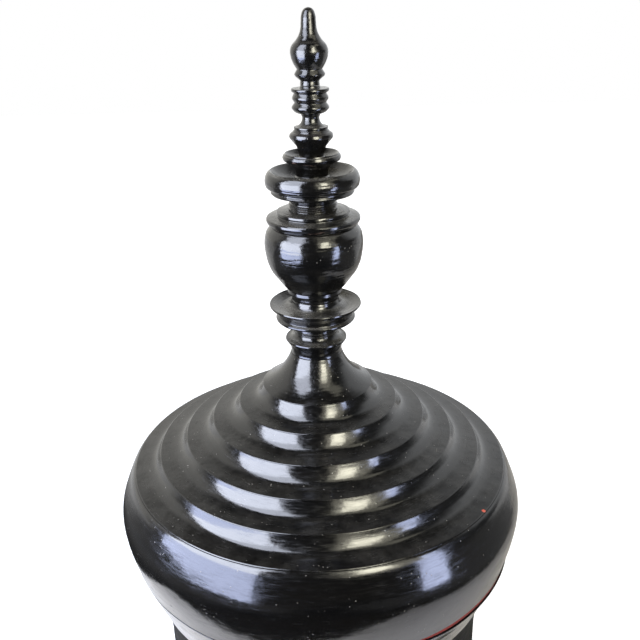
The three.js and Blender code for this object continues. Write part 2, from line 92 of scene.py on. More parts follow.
# A profile of radius and height. Each corner has its softness, and arcs and flows are smooth.
class Outline:
    def __init__(self, radius, height, soft=0.0):
        self.rows = [(Vector((radius, height)), soft)]

    def to(self, radius, height, soft=0.45):
        self.rows.append((Vector((radius, height)), soft))
        return self

    def arc(self, radius, height, bulge, soft=0.0):
        start = self.rows[-1][0]
        end = Vector((radius, height))
        chord = end - start
        side = Vector((chord.y, -chord.x)).normalized()
        half = chord.length / 2
        size = abs(bulge)
        sweepRadius = (half * half + size * size) / (2 * size)
        reach = math.atan2(half, sweepRadius - size)
        sign = 1 if bulge > 0 else -1
        for step in range(1, surface["arcSteps"]):
            angle = reach * (2 * step / surface["arcSteps"] - 1)
            along = 0.5 + sweepRadius * math.sin(angle) / chord.length
            rise = sweepRadius * (math.cos(angle) - math.cos(reach)) * sign
            self.rows.append((start + chord * along + side * rise, 0.0))
        self.rows.append((end, soft))
        return self

    def flow(self, *places, soft=0.0):
        stops = [self.rows[-1][0]] + [Vector(place) for place in places]
        stops = [2 * stops[0] - stops[1]] + stops + [2 * stops[-1] - stops[-2]]
        for index in range(1, len(stops) - 2):
            a, b, c, d = stops[index - 1:index + 3]
            for step in range(1, surface["flowSteps"] + 1):
                t = step / surface["flowSteps"]
                place = 0.5 * (2 * b + (c - a) * t + (2 * a - 5 * b + 4 * c - d) * t ** 2
                               + (3 * b - a - 3 * c + d) * t ** 3)
                self.rows.append((place, 0.0))
        self.rows[-1] = (self.rows[-1][0], soft)
        return self

    def softened(self, closed):
        count = len(self.rows)
        path = []
        for index, (here, soft) in enumerate(self.rows):
            atEnd = not closed and index in (0, count - 1)
            if atEnd or soft <= 0:
                path.append(here)
                continue
            before = self.rows[index - 1][0] - here
            after = self.rows[(index + 1) % count][0] - here
            turn = math.pi - before.angle(after)
            cut = min(soft * math.tan(turn / 2), 0.42 * before.length, 0.42 * after.length)
            start = here + before.normalized() * cut
            end = here + after.normalized() * cut
            for step in range(surface["edgeSteps"] + 1):
                t = step / surface["edgeSteps"]
                path.append(start * (1 - t) ** 2 + here * 2 * t * (1 - t) + end * t ** 2)
        return path

    def points(self, closed, longest):
        path = self.softened(closed)
        ends = path[1:] + ([path[0]] if closed else [])
        result = []
        for start, end in zip(path, ends):
            result.append(start)
            length = (end - start).length
            gap = surface["supportGap"]
            if length < 3 * gap:
                continue
            pieces = max(1, math.ceil((length - 2 * gap) / longest))
            for step in range(pieces + 1):
                along = gap + (length - 2 * gap) * step / pieces
                result.append(start + (end - start) * (along / length))
        if not closed:
            result.append(path[-1])
        return result


# Hand work is never quite round or level
def wander(vertex):
    radius = math.hypot(vertex.x, vertex.y)
    if radius < mm:
        return
    around = Vector((vertex.x, vertex.y)) / radius * handMade["around"]
    place = Vector((around.x, around.y, vertex.z * handMade["up"]))
    pull = handMade["inwards"] * mm * (0.5 + 0.5 * noise.noise(place))
    steady = min(1.0, vertex.z / (handMade["steadyBelow"] * mm))
    elsewhere = place * handMade["swayPitch"] + handMade["swayShift"]
    sway = handMade["upAndDown"] * mm * noise.noise(elsewhere) * steady
    grown = min(1.0, radius / (handMade["fullFrom"] * mm))
    vertex.x *= 1 - pull * grown / radius
    vertex.y *= 1 - pull * grown / radius
    vertex.z += sway * grown


# Tool marks cut into a face, running round the axis
def ridge(vertex):
    radius = math.hypot(vertex.co.x, vertex.co.y)
    if radius < mm:
        return
    x, y = vertex.co.x / radius * ridges["around"], vertex.co.y / radius * ridges["around"]
    place = Vector((x, y, (vertex.co.z + ridges["slant"] * radius) * ridges["pitch"]))
    least = ridges["least"]
    grown = min(1.0, least + (1 - least) * radius / (ridges["fullFrom"] * mm))
    vertex.co -= vertex.normal * (ridges["depth"] * mm * grown * (0.5 + 0.5 * noise.noise(place)))


# Spins an outline round the axis and dresses the node with it
def turned(node, outline, closed, material, body, sides, warp=None, ridged=False):
    bm = bmesh.new()
    points = outline.points(closed, surface["spireStep" if ridged else "vesselStep"])
    places = [bm.verts.new((place.x * mm, 0, place.y * mm)) for place in points]
    links = list(zip(places, places[1:]))
    if closed:
        links.append((places[-1], places[0]))
    lines = [bm.edges.new(link) for link in links]
    bmesh.ops.spin(bm, geom=places + lines, cent=(0, 0, 0), axis=(0, 0, 1), angle=math.tau,
                   steps=sides, use_merge=True)
    bmesh.ops.remove_doubles(bm, verts=bm.verts, dist=0.002 * mm)
    bmesh.ops.dissolve_degenerate(bm, edges=bm.edges, dist=0.001 * mm)
    bmesh.ops.recalc_face_normals(bm, faces=bm.faces)
    for vertex in bm.verts:
        if warp:
            warp(vertex.co)
        wander(vertex.co)
    if ridged:
        bm.normal_update()
        for vertex in bm.verts:
            ridge(vertex)
    for face in bm.faces:
        face.smooth = True
    for edge in bm.edges:
        edge.smooth = len(edge.link_faces) == 2 and edge.calc_face_angle(0) < surface["sharpTurn"]
    mesh = bpy.data.meshes.new(node)
    bm.to_mesh(mesh)
    bm.free()
    piece = bpy.data.objects.new("look_" + node, mesh)
    bpy.context.scene.collection.objects.link(piece)
    mesh.materials.append(material)
    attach(piece, body)
    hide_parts(node)
    return piece


# Shader groups

def newGroup(name, inputs, outputs):
    group = bpy.data.node_groups.new(name, "ShaderNodeTree")
    for label, kind, value in inputs:
        socket = group.interface.new_socket(label, in_out="INPUT", socket_type=kind)
        socket.default_value = value
    for label, kind in outputs:
        group.interface.new_socket(label, in_out="OUTPUT", socket_type=kind)
    return group


def add(tree, kind, **values):
    node = tree.nodes.new(kind)
    for name, value in values.items():
        setattr(node, name, value)
    return node


def plug(tree, source, target):
    tree.links.new(source, target)


def calc(tree, operation, first, second=None, third=None):
    node = add(tree, "ShaderNodeMath", operation=operation)
    for index, value in enumerate((first, second, third)):
        if value is None:
            continue
        if isinstance(value, (int, float)):
            node.inputs[index].default_value = value
        else:
            plug(tree, value, node.inputs[index])
    return node.outputs[0]


def spread(tree, value, fromLow, fromHigh, toLow=0.0, toHigh=1.0):
    node = add(tree, "ShaderNodeMapRange", interpolation_type="SMOOTHSTEP")
    plug(tree, value, node.inputs["Value"])
    node.inputs["From Min"].default_value = fromLow
    node.inputs["From Max"].default_value = fromHigh
    node.inputs["To Min"].default_value = toLow
    node.inputs["To Max"].default_value = toHigh
    return node.outputs["Result"]


def noiseOf(tree, vector, scale, detail=3.0, roughness=0.55, w=None):
    node = add(tree, "ShaderNodeTexNoise")
    if w is not None:
        node.noise_dimensions = "4D"
        plug(tree, w, node.inputs["W"])
    plug(tree, vector, node.inputs["Vector"])
    node.inputs["Scale"].default_value = scale
    node.inputs["Detail"].default_value = detail
    node.inputs["Roughness"].default_value = roughness
    return node.outputs["Fac"]


# Marks that run round the axis: fine brush lines, broader bands and slow waves
def makeTurningGroup():
    group = newGroup("turningMarks",
                     [("Line Pitch", "NodeSocketFloat", 900.0), ("Wave Scale", "NodeSocketFloat", 14.0),
                      ("Lump Scale", "NodeSocketFloat", 75.0)],
                     [("Lines", "NodeSocketFloat"), ("Bands", "NodeSocketFloat"),
                      ("Waves", "NodeSocketFloat"), ("Lumps", "NodeSocketFloat")])
    inside = add(group, "NodeGroupInput")
    outside = add(group, "NodeGroupOutput")
    coords = add(group, "ShaderNodeTexCoord")
    parts = add(group, "ShaderNodeSeparateXYZ")
    plug(group, coords.outputs["Object"], parts.inputs[0])
    across = calc(group, "MULTIPLY", parts.outputs["X"], parts.outputs["X"])
    total = calc(group, "MULTIPLY_ADD", parts.outputs["Y"], parts.outputs["Y"], across)
    radius = calc(group, "SQRT", calc(group, "ADD", total, 1e-8))
    for label, pitch, turnScale, detail in (("Lines", 1.0, 14.0, 3.0), ("Bands", 0.16, 1.6, 2.0)):
        vector = add(group, "ShaderNodeCombineXYZ")
        stretch = calc(group, "MULTIPLY", inside.outputs["Line Pitch"], pitch)
        plug(group, calc(group, "MULTIPLY", calc(group, "DIVIDE", parts.outputs["X"], radius), turnScale),
             vector.inputs["X"])
        plug(group, calc(group, "MULTIPLY", calc(group, "DIVIDE", parts.outputs["Y"], radius), turnScale),
             vector.inputs["Y"])
        plug(group, calc(group, "MULTIPLY", parts.outputs["Z"], stretch), vector.inputs["Z"])
        field = noiseOf(group, vector.outputs[0], 1.0, detail, w=calc(group, "MULTIPLY", radius, stretch))
        plug(group, field, outside.inputs[label])
    for label, scale, detail in (("Waves", "Wave Scale", 1.0), ("Lumps", "Lump Scale", 2.5)):
        field = add(group, "ShaderNodeTexNoise")
        plug(group, coords.outputs["Object"], field.inputs["Vector"])
        plug(group, inside.outputs[scale], field.inputs["Scale"])
        field.inputs["Detail"].default_value = detail
        plug(group, field.outputs["Fac"], outside.inputs[label])
    return group


# Dust that lies on upward faces, with specks
def makeDustGroup():
    group = newGroup("settledDust",
                     [("Flatness", "NodeSocketFloat", 0.75), ("Amount", "NodeSocketFloat", 0.5)],
                     [("Dust", "NodeSocketFloat"), ("Specks", "NodeSocketFloat")])
    inside = add(group, "NodeGroupInput")
    outside = add(group, "NodeGroupOutput")
    coords = add(group, "ShaderNodeTexCoord")
    geometry = add(group, "ShaderNodeNewGeometry")
    parts = add(group, "ShaderNodeSeparateXYZ")
    plug(group, geometry.outputs["Normal"], parts.inputs[0])
    over = calc(group, "SUBTRACT", parts.outputs["Z"], inside.outputs["Flatness"])
    facing = spread(group, over, 0.0, 0.25)
    patches = spread(group, noiseOf(group, coords.outputs["Object"], 42.0, 5.0, 0.65), 0.3, 0.75)
    grain = spread(group, noiseOf(group, coords.outputs["Object"], 900.0, 2.0), 0.35, 0.7, 0.45, 1.0)
    film = calc(group, "MULTIPLY", calc(group, "MULTIPLY", facing, patches), grain)
    plug(group, calc(group, "MULTIPLY", film, inside.outputs["Amount"]), outside.inputs["Dust"])
    cells = add(group, "ShaderNodeTexVoronoi")
    plug(group, coords.outputs["Object"], cells.inputs["Vector"])
    cells.inputs["Scale"].default_value = 230.0
    dots = spread(group, cells.outputs["Distance"], 0.09, 0.15, 1.0, 0.0)
    few = spread(group, noiseOf(group, coords.outputs["Object"], 60.0, 1.0), 0.55, 0.62)
    plug(group, calc(group, "MULTIPLY", dots, few), outside.inputs["Specks"])
    return group


# Rubbed outer edges
def makeWearGroup():
    group = newGroup("rubbedEdges",
                     [("Start", "NodeSocketFloat", 0.53), ("Width", "NodeSocketFloat", 0.08)],
                     [("Edge", "NodeSocketFloat")])
    inside = add(group, "NodeGroupInput")
    outside = add(group, "NodeGroupOutput")
    coords = add(group, "ShaderNodeTexCoord")
    geometry = add(group, "ShaderNodeNewGeometry")
    over = calc(group, "SUBTRACT", geometry.outputs["Pointiness"], inside.outputs["Start"])
    rim = add(group, "ShaderNodeClamp")
    plug(group, calc(group, "DIVIDE", over, inside.outputs["Width"]), rim.inputs["Value"])
    broken = spread(group, noiseOf(group, coords.outputs["Object"], 120.0, 6.0, 0.7), 0.42, 0.62)
    plug(group, calc(group, "MULTIPLY", rim.outputs[0], broken), outside.inputs["Edge"])
    return group


turningMarks = makeTurningGroup()
settledDust = makeDustGroup()
rubbedEdges = makeWearGroup()


def mixColors(tree, factor, first, second):
    node = add(tree, "ShaderNodeMix", data_type="RGBA")
    plug(tree, factor, node.inputs["Factor"])
    for socket, value in ((node.inputs[6], first), (node.inputs[7], second)):
        if isinstance(value, tuple):
            socket.default_value = (*value, 1.0)
        else:
            plug(tree, value, socket)
    return node.outputs[2]


def useGroup(tree, group, **values):
    node = add(tree, "ShaderNodeGroup", node_tree=group)
    for name, value in values.items():
        node.inputs[name].default_value = value
    return node.outputs


# A flake lost from a lip, with a ragged outline
def chipMask(tree, chip):
    coords = add(tree, "ShaderNodeTexCoord")
    away = add(tree, "ShaderNodeVectorMath", operation="DISTANCE")
    plug(tree, coords.outputs["Object"], away.inputs[0])
    away.inputs[1].default_value = [value * mm for value in chip["place"]]
    ragged = calc(tree, "MULTIPLY_ADD", noiseOf(tree, coords.outputs["Object"], 700.0), chip["ragged"] * mm,
                  away.outputs["Value"])
    return spread(tree, ragged, chip["size"] * 0.9 * mm, chip["size"] * 1.1 * mm, 1.0, 0.0)


def lacquer(name, look):
    material = bpy.data.materials.new(name)
    material.use_nodes = True
    tree = material.node_tree
    shader = tree.nodes["Principled BSDF"]
    marks = useGroup(tree, turningMarks, **{"Line Pitch": look["linePitch"], "Wave Scale": look["waveScale"],
                                            "Lump Scale": look["lumpScale"]})
    dust = useGroup(tree, settledDust, **{"Flatness": look["dustFrom"], "Amount": look["dust"]})
    edges = useGroup(tree, rubbedEdges)
    tone = spread(tree, marks["Bands"], 0.3, 0.7)
    color = mixColors(tree, tone, look["color"], look["secondColor"])
    color = mixColors(tree, calc(tree, "MULTIPLY", edges["Edge"], look["edgeWear"]), color, look["wornColor"])
    color = mixColors(tree, dust["Dust"], color, look["dustColor"])
    color = mixColors(tree, calc(tree, "MULTIPLY", dust["Specks"], look["specks"]), color, look["dustColor"])
    if "chip" in look:
        color = mixColors(tree, chipMask(tree, look["chip"]), color, look["chipColor"])
    plug(tree, color, shader.inputs["Base Color"])
    streaks = calc(tree, "MULTIPLY", spread(tree, marks["Lines"], 0.35, 0.75), look["streaks"])
    cloud = calc(tree, "MULTIPLY_ADD", spread(tree, marks["Lumps"], 0.35, 0.7), look["cloud"], streaks)
    rough = calc(tree, "ADD", cloud, look["roughness"])
    rough = calc(tree, "MULTIPLY_ADD", edges["Edge"], look["wornRoughness"], rough)
    rough = calc(tree, "MULTIPLY_ADD", dust["Dust"], look["dustRoughness"], rough)
    plug(tree, rough, shader.inputs["Roughness"])
    shine = calc(tree, "SUBTRACT", look["coat"], calc(tree, "MULTIPLY", dust["Dust"], look["coat"]))
    plug(tree, shine, shader.inputs["Coat Weight"])
    shader.inputs["Coat Roughness"].default_value = look["coatRoughness"]
    shader.inputs["Coat IOR"].default_value = 1.5
    shader.inputs["IOR"].default_value = look["ior"]
    height = calc(tree, "MULTIPLY", marks["Lines"], look["lineDepth"] * mm)
    height = calc(tree, "MULTIPLY_ADD", marks["Bands"], look["bandDepth"] * mm, height)
    height = calc(tree, "MULTIPLY_ADD", marks["Waves"], look["waveDepth"] * mm, height)
    height = calc(tree, "MULTIPLY_ADD", marks["Lumps"], look["lumpDepth"] * mm, height)
    height = calc(tree, "MULTIPLY_ADD", dust["Specks"], look["speckDepth"] * mm, height)
    bump = add(tree, "ShaderNodeBump")
    bump.inputs["Strength"].default_value = 1.0
    bump.inputs["Distance"].default_value = 1.0
    plug(tree, height, bump.inputs["Height"])
    plug(tree, bump.outputs[0], shader.inputs["Normal"])
    plug(tree, bump.outputs[0], shader.inputs["Coat Normal"])
    return material


vesselLook = {
    "color": (0.0013, 0.0013, 0.0013),
    "secondColor": (0.0023, 0.0021, 0.0018),
    "wornColor": (0.030, 0.018, 0.013),
    "dustColor": (0.16, 0.15, 0.13),
    "roughness": 0.10,
    "streaks": 0.16,
    "cloud": 0.05,
    "coat": 0.2,
    "coatRoughness": 0.08,
    "ior": 1.5,
    "linePitch": 620.0,
    "waveScale": 14.0,
    "lumpScale": 90.0,
    "lineDepth": 0.035,
    "bandDepth": 0.05,
    "waveDepth": 0.42,
    "lumpDepth": 0.16,
    "speckDepth": 0.05,
    "dustFrom": 0.80,
    "dust": 0.11,
    "specks": 0.5,
    "edgeWear": 0.6,
    "wornRoughness": 0.2,
    "dustRoughness": 0.5,
}
lidLook = vesselLook | {
    "chip": {"place": (145.8, -110.2, 301.5), "size": 3.0, "ragged": 2.4},
    "chipColor": (0.32, 0.05, 0.025),
}
spireLook = vesselLook | {
    "roughness": 0.09,
    "streaks": 0.10,
    "linePitch": 900.0,
    "waveScale": 26.0,
    "lumpScale": 190.0,
    "waveDepth": 0.16,
    "lineDepth": 0.10,
    "bandDepth": 0.06,
    "lumpDepth": 0.16,
    "dustFrom": 0.62,
    "dust": 0.42,
    "edgeWear": 1.0,
}
drumLook = vesselLook | {
    "color": (0.0055, 0.0056, 0.0046),
    "secondColor": (0.0085, 0.0086, 0.0070),
    "wornColor": (0.20, 0.06, 0.045),
    "roughness": 0.6,
    "coat": 0.0,
    "ior": 1.14,
    "waveDepth": 0.2,
    "edgeWear": 1.0,
}
redLook = vesselLook | {
    "color": (0.30, 0.022, 0.014),
    "secondColor": (0.19, 0.013, 0.009),
    "wornColor": (0.10, 0.02, 0.012),
    "roughness": 0.28,
    "coat": 0.3,
    "dustFrom": 0.9,
    "dust": 0.15,
}
ringLook = redLook | {
    "color": (0.15, 0.017, 0.012),
    "secondColor": (0.12, 0.013, 0.010),
    "roughness": 0.5,
    "coat": 0.0,
    "ior": 1.3,
}

vesselBlack = lacquer("vesselBlack", vesselLook)
lidBlack = lacquer("lidBlack", lidLook)
spireBlack = lacquer("spireBlack", spireLook)
drumBlack = lacquer("drumBlack", drumLook)
innerRed = lacquer("innerRed", redLook)
ringRed = lacquer("ringRed", ringLook)


def vesselPiece(node, outline, material, body, closed=True, warp=None):
    turned(node, outline, closed, material, body, surface["vesselSides"], warp)


def spirePiece(node, outline):
    turned(node, outline, False, spireBlack, "spire", surface["spireSides"], ridged=True)


# The gap that seated faces keep
fit = 0.3

# Pedestal

foot = {"radius": 181.6, "inner": 150, "bulge": 3}
z0, z1 = low("pedestal_foot_ring"), high("pedestal_foot_ring")
vesselPiece("pedestal_foot_ring", Outline(foot["inner"], z0, 0.5)
            .to(foot["radius"] - foot["bulge"], z0, 0.4)
            .arc(foot["radius"] - foot["bulge"], z1, foot["bulge"], 0.4)
            .to(foot["inner"], z1), drumBlack, "base")

moulding = {"radius": 176, "inner": 150, "shoulder": 4, "top": 165.8}
z0, z1 = low("pedestal_moulding"), high("pedestal_moulding")
vesselPiece("pedestal_moulding", Outline(moulding["inner"], z0, 0.5)
            .to(moulding["radius"] - moulding["shoulder"], z0, 0.3)
            .arc(moulding["top"], z1, moulding["shoulder"], 0.3)
            .to(moulding["inner"], z1), drumBlack, "base")

drum = {"radius": 165.5, "wall": 8.5}
z0, z1 = low("pedestal_drum"), high("pedestal_drum")
vesselPiece("pedestal_drum", Outline(drum["radius"] - drum["wall"], z0, 0.4)
            .to(drum["radius"], z0)
            .to(drum["radius"], z1)
            .to(drum["radius"] - drum["wall"], z1), drumBlack, "base")

topRing = {"radius": 165.5, "inner": 140}
z0, z1 = low("pedestal_top_ring"), high("pedestal_top_ring")
vesselPiece("pedestal_top_ring", Outline(topRing["inner"], z0, 0.5)
            .to(topRing["radius"], z0)
            .to(topRing["radius"], z1)
            .to(topRing["inner"], z1), drumBlack, "base")
print("stage: pedestal")

# Bowl, its floor, its hoop and the locating ring

bowl = {
    "foot": 165.5, "waist": 171.5, "waistUp": 41, "joint": 176.3, "rim": 193, "wall": 8,
    "ledge": 7.5, "ledgeUp": 3, "floorThick": 9, "hollow": 1.3,
    "spigot": 172.6, "spigotInner": 166.8, "spigotDeep": 5,
}
z0, z1 = low("bowl_lower_wall"), high("bowl_lower_wall")
floorTop = z0 + bowl["ledgeUp"] + fit + bowl["floorThick"]
innerFoot = bowl["foot"] - bowl["wall"]
vesselPiece("bowl_lower_wall", Outline(innerFoot - bowl["ledge"], z0, 0.4)
            .to(bowl["foot"], z0)
            .flow((167.4, z0 + 20), (bowl["waist"], z0 + bowl["waistUp"]), (bowl["joint"], z1), soft=1.2)
            .to(bowl["spigot"] + fit, z1, 0.3)
            .to(bowl["spigot"] + fit, z1 - bowl["spigotDeep"], 0)
            .to(bowl["spigotInner"], z1 - bowl["spigotDeep"])
            .to(bowl["waist"] - bowl["wall"], z0 + bowl["waistUp"], 0)
            .arc(innerFoot, floorTop, bowl["hollow"])
            .to(innerFoot, z0 + bowl["ledgeUp"])
            .to(innerFoot - bowl["ledge"], z0 + bowl["ledgeUp"]), drumBlack, "base")

# The joint between bowl and lid stands open on the right: the rim of the bowl hangs lower and wider,
# the lid's foot a little lower, and the ring's flange between them is thicker.
openJoint = {"from": 0.22, "over": 0.38, "reach": 18, "bowlDown": 4.3, "bowlWider": 0.9, "widerReach": 40,
             "lidDown": 0.8, "flangeDown": 1.0, "flangeDeeper": 3.4, "width": 4.5, "wider": 1.1}
bowlTop, lidFoot = high("bowl_wall"), low("lid_belly")
ring = {"outer": 180.6, "inner": 176.4, "bend": 185.2, "flange": 191.4, "thick": 1.4}
flange = bowlTop + fit


# Rises smoothly from 0 to 1 towards the right
def rightward(place):
    radius = max(math.hypot(place.x, place.y), mm)
    share = min(1.0, max(0.0, (place.x / radius - openJoint["from"]) / openJoint["over"]))
    return share * share * (3 - 2 * share), radius


def pushOut(place, radius, distance):
    place.x *= 1 + distance / radius
    place.y *= 1 + distance / radius


def openBowl(place):
    share, radius = rightward(place)
    depth = bowlTop - place.z / mm
    near = max(0.0, 1 - depth / openJoint["reach"])
    wide = max(0.0, 1 - depth / openJoint["widerReach"])
    place.z -= openJoint["bowlDown"] * mm * share * near
    pushOut(place, radius, openJoint["bowlWider"] * mm * share * wide)


def openLid(place):
    share = rightward(place)[0]
    near = max(0.0, 1 - (place.z / mm - lidFoot) / openJoint["reach"])
    place.z -= openJoint["lidDown"] * mm * share * near


def openFlange(place):
    share, radius = rightward(place)
    isTop = place.z / mm > flange + ring["thick"] / 2
    root = ring["outer"] if isTop else ring["bend"]
    outer = min(1.0, max(0.0, (radius / mm - root) / openJoint["width"]))
    place.z -= openJoint["flangeDown" if isTop else "flangeDeeper"] * mm * share * outer
    pushOut(place, radius, openJoint["wider"] * mm * share * outer)


z0, z1 = low("bowl_wall"), high("bowl_wall")
joint = z0 + bowl["spigotDeep"]
vesselPiece("bowl_wall", Outline(bowl["spigotInner"], z0, 0.3)
            .to(bowl["spigot"], z0, 0.3)
            .to(bowl["spigot"], joint, 0.2)
            .to(bowl["joint"], joint, 0.8)
            .flow((178.6, joint + 6.1), (182.3, joint + 16.1), (186.3, joint + 26.1),
                  (bowl["rim"], z1), soft=0.6)
            .to(bowl["rim"] - bowl["wall"], z1), vesselBlack, "base", warp=openBowl)

bowlFloor = {"radius": innerFoot - fit}
z0, z1 = low("bowl_floor"), high("bowl_floor")
vesselPiece("bowl_floor", Outline(0, z0)
            .to(bowlFloor["radius"], z0)
            .to(bowlFloor["radius"], z1)
            .to(0, z1), innerRed, "base", closed=False)

hoop = {"mouth": 184.7, "slope": 0.368, "inner": 167.4}
z0, z1 = low("bowl_rim_hoop"), high("bowl_rim_hoop")
ledge = low("bowl_locating_ring") - fit
vesselPiece("bowl_rim_hoop", Outline(hoop["inner"], z0, 0.4)
            .to(hoop["mouth"] - hoop["slope"] * (z1 - z0), z0)
            .to(hoop["mouth"], z1)
            .to(ring["outer"] + fit, z1)
            .to(ring["outer"] + fit, ledge, 0.2)
            .to(hoop["inner"], ledge, 0.5), innerRed, "base")

z0, z1 = low("bowl_locating_ring"), high("bowl_locating_ring")
vesselPiece("bowl_locating_ring", Outline(ring["inner"], z0, 0.4)
            .to(ring["outer"], z0)
            .to(ring["outer"], flange, 0)
            .to(ring["bend"], flange, 0)
            .to(ring["flange"], flange, 0.3)
            .to(ring["flange"], flange + ring["thick"], 0.3)
            .to(ring["bend"], flange + ring["thick"], 0)
            .to(ring["outer"], flange + ring["thick"], 0)
            .to(ring["outer"], z1, 0.8)
            .to(ring["inner"], z1, 0.8), ringRed, "base", warp=openFlange)
print("stage: bowl")

# Tray

tray = {"outer": 175.8, "wall": 4.5, "floor": 5, "corner": 4}
z0, z1 = low("tray_dish"), high("tray_dish")
round45 = tray["corner"] * (1 - math.sqrt(0.5))
trayInner = tray["outer"] - tray["wall"]
vesselPiece("tray_dish", Outline(0, z0)
            .to(tray["outer"] - tray["corner"], z0, 0)
            .arc(tray["outer"], z0 + tray["corner"], round45)
            .to(tray["outer"], z1)
            .to(trayInner, z1)
            .to(trayInner, z0 + tray["floor"] + tray["corner"], 0)
            .arc(trayInner - tray["corner"], z0 + tray["floor"], -round45)
            .to(0, z0 + tray["floor"]), innerRed, "tray", closed=False)

trayHoop = {"inner": 170.3}
z0, z1 = low("tray_rim_hoop"), high("tray_rim_hoop")
vesselPiece("tray_rim_hoop", Outline(trayHoop["inner"], z0, 0.3)
            .to(tray["outer"], z0, 0.3)
            .to(tray["outer"], z1, 1.4)
            .to(trayHoop["inner"], z1, 1.4), innerRed, "tray")
print("stage: tray")

# Lid

lid = {
    "rim": 193.6, "wall": 8, "edges": [53.5, 77.6, 104.5, 131.8, 158.9, 182.7],
    "lip": 1.6, "undercut": 1.0, "overlap": 1.4, "seat": 10.4, "bore": 9, "spigot": 4,
    "lowestLip": 1.2, "lowestLipOut": 2.0, "lowestUndercut": 0.3,
}
z0, z1 = low("lid_belly"), high("lid_belly")
seatInner = lid["edges"][-1] - lid["overlap"] - lid["seat"]
vesselPiece("lid_belly", Outline(lid["rim"] - lid["wall"], z0, 0.5)
            .to(lid["rim"], z0, 0.9)
            .flow((195.0, z0 + 6), (196.9, z0 + 14), (198.8, z0 + 23), (200.2, z0 + 32),
                  (200.9, z0 + 41), (200.2, z0 + 49), (198.3, z0 + 56), (195.6, z0 + 63),
                  (192.9, z0 + 69.6), (190.6, z0 + 74.9), (188.4, z0 + 79.3), (186.3, z0 + 82.3),
                  (184.9, z1 + 0.2), soft=0.3)
            .to(182.8, z1, 0.2)
            .to(seatInner, z1)
            .to(seatInner, z1 - lid["wall"], 0.8)
            .flow((180.6, z1 - 11.7), (190.3, z0 + 55.6), (192.6, z0 + 33.6), (185.6, z0), soft=0.0),
            lidBlack, "lid", warp=openLid)

lidHoop = {"inner": 181.5, "rim": 185.3, "slope": 0.2083}
z0, z1 = low("lid_rim_hoop"), high("lid_rim_hoop")
vesselPiece("lid_rim_hoop", Outline(lidHoop["inner"], z0, 0.8)
            .to(lidHoop["rim"], z0, 0.3)
            .to(lidHoop["rim"] + lidHoop["slope"] * (z1 - z0), z1, 0.3)
            .to(lidHoop["inner"], z1, 0.8), innerRed, "lid")

# A tier sweeps from its lip over a nearly level ledge up to the lip above it.
# Each row is a share of the run inwards and of the rise.
sweep = [(0.16, 0.012), (0.32, 0.030), (0.48, 0.062), (0.61, 0.125), (0.73, 0.26), (0.84, 0.48),
         (0.93, 0.75), (1.0, 1.0)]

for index in range(1, 6):
    node = f"lid_tier_{index}"
    upper, lower = lid["edges"][index - 1], lid["edges"][index]
    z0, z1 = low(node), high(node)
    underside = z0 + lid["spigot"]
    isLowest = index == 5
    lip = underside + (lid["lowestLip"] if isLowest else lid["lip"])
    spigot = lower - lid["overlap"] - lid["seat"] - fit
    riserTop = upper - lid["overlap"]
    bore = riserTop - lid["seat"]
    edge = lower + (lid["lowestLipOut"] if isLowest else 0)
    undercut = lid["lowestUndercut"] if isLowest else lid["undercut"]
    vesselPiece(node, Outline(spigot, underside, 0.2)
                .to(edge - undercut, underside, 0.2)
                .to(edge, lip - 0.7, 0.7)
                .to(edge - 0.9, lip, 0.8)
                .flow(*[(edge - run * (edge - riserTop), lip + rise * (z1 - lip)) for run, rise in sweep])
                .to(bore, z1, 0.4)
                .to(bore, z1 - lid["bore"], 0.8)
                .to(spigot, z0, 0.4), lidBlack, "lid")

crown = {"neck": 24.8, "hollow": 4.4, "plug": 20, "plugRadius": 42.2,
         "socketTop": 15.3, "socketFloor": 13.3, "socketDeep": 38.3}
z0, z1 = low("lid_crown"), high("lid_crown")
crownLow = z0 + crown["plug"]
crownEdge = lid["edges"][0]
vesselPiece("lid_crown", Outline(0, z0)
            .to(crown["plugRadius"], z0)
            .to(crown["plugRadius"], crownLow, 0.2)
            .to(crownEdge - lid["undercut"], crownLow, 0.3)
            .to(crownEdge, crownLow + lid["lip"] - 0.6, 0.8)
            .arc(crown["neck"], z1, -crown["hollow"], 0.5)
            .to(crown["socketTop"], z1, 0.4)
            .to(crown["socketFloor"], z1 - crown["socketDeep"], 0.3)
            .to(0, z1 - crown["socketDeep"]), lidBlack, "lid", closed=False)
print("stage: lid")

# Spire. Each section has a tenon below its seat, and each but the bud a socket in its top.

tenon = {"long": 15}


# Draws the tenon, lets the shape draw the outside, and cuts the socket when one is given
def section(node, radius, shape, socket, socketTop=None, deep=tenon["long"], tip=None):
    z0, z1 = low(node), high(node)
    seat = z0 + deep
    outline = Outline(0, z0).to(tip or radius, z0, 0.6).to(radius, seat, 0.2)
    shape(outline, seat)
    if socket:
        top = socketTop(seat)
        outline.to(socket + fit, top, 0.4)
        outline.to(socket + fit, top - tenon["long"] - fit, 0.3)
        outline.to(0, top - tenon["long"] - fit)
    spirePiece(node, outline)


collar = {"foot": 24.8, "edge": 29.4, "edgeUp": 14.4, "neck": 20.4, "top": 26.4, "ring": 1.1}


def drawCollar(outline, z):
    edge, top = z + collar["edgeUp"], z + collar["top"]
    outline.to(collar["foot"], z, 0.3)
    outline.arc(collar["edge"] - 1.2, edge - 2.6, -1.6, 0.5)
    outline.to(collar["edge"], edge - 0.6, 0.5).to(collar["edge"] - 0.3, edge + 0.9, 0.4)
    outline.arc(collar["neck"] + 0.2, top - 6.2, -1.9, 0.2)
    for lift in (5.4, 2.6):
        outline.to(collar["neck"], top - lift - 0.8, 0.2)
        outline.to(collar["neck"] + collar["ring"], top - lift, 0.5)
        outline.to(collar["neck"], top - lift + 0.8, 0.2)
    outline.to(collar["neck"], top, 0.3)


section("spire_collar", 15, drawCollar, 11, lambda z: z + collar["top"], deep=38, tip=13)

